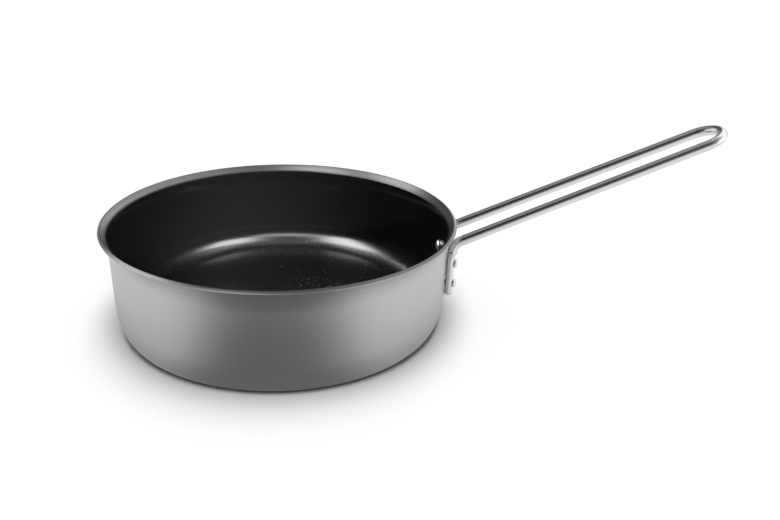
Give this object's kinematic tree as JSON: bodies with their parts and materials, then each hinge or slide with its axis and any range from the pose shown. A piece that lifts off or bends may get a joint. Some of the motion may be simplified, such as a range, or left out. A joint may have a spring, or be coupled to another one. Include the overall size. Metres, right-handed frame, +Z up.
{
  "type": "saute pan",
  "caption": "Straight-walled cast aluminium saute pan with a flared lip, black non-stick lining, steel induction disc and a riveted steel rod loop handle.",
  "frame": {"origin": "middle of the underside, on the surface the pan stands on", "axes": "+Z up out of the pan's mouth, +X out along the handle, XZ the plane of symmetry"},
  "size_m": [0.4317, 0.25, 0.1486],
  "materials": {
    "satin_aluminium": "satin, bead-blasted grey",
    "nonstick_coating": "black non-stick with fine pale speckle, semi-gloss",
    "disc_steel": "turned, fine circular grain",
    "handle_steel": "polished stainless steel",
    "rivet_steel": "polished stainless steel"
  },
  "bodies": {
    "root": {"pan_body": "satin_aluminium", "nonstick_lining": "nonstick_coating", "induction_disc": "disc_steel", "handle_loop": "handle_steel", "rivet_lower_right": "rivet_steel", "rivet_upper_right": "rivet_steel", "rivet_lower_left": "rivet_steel", "rivet_upper_left": "rivet_steel"}
  },
  "joints": []
}
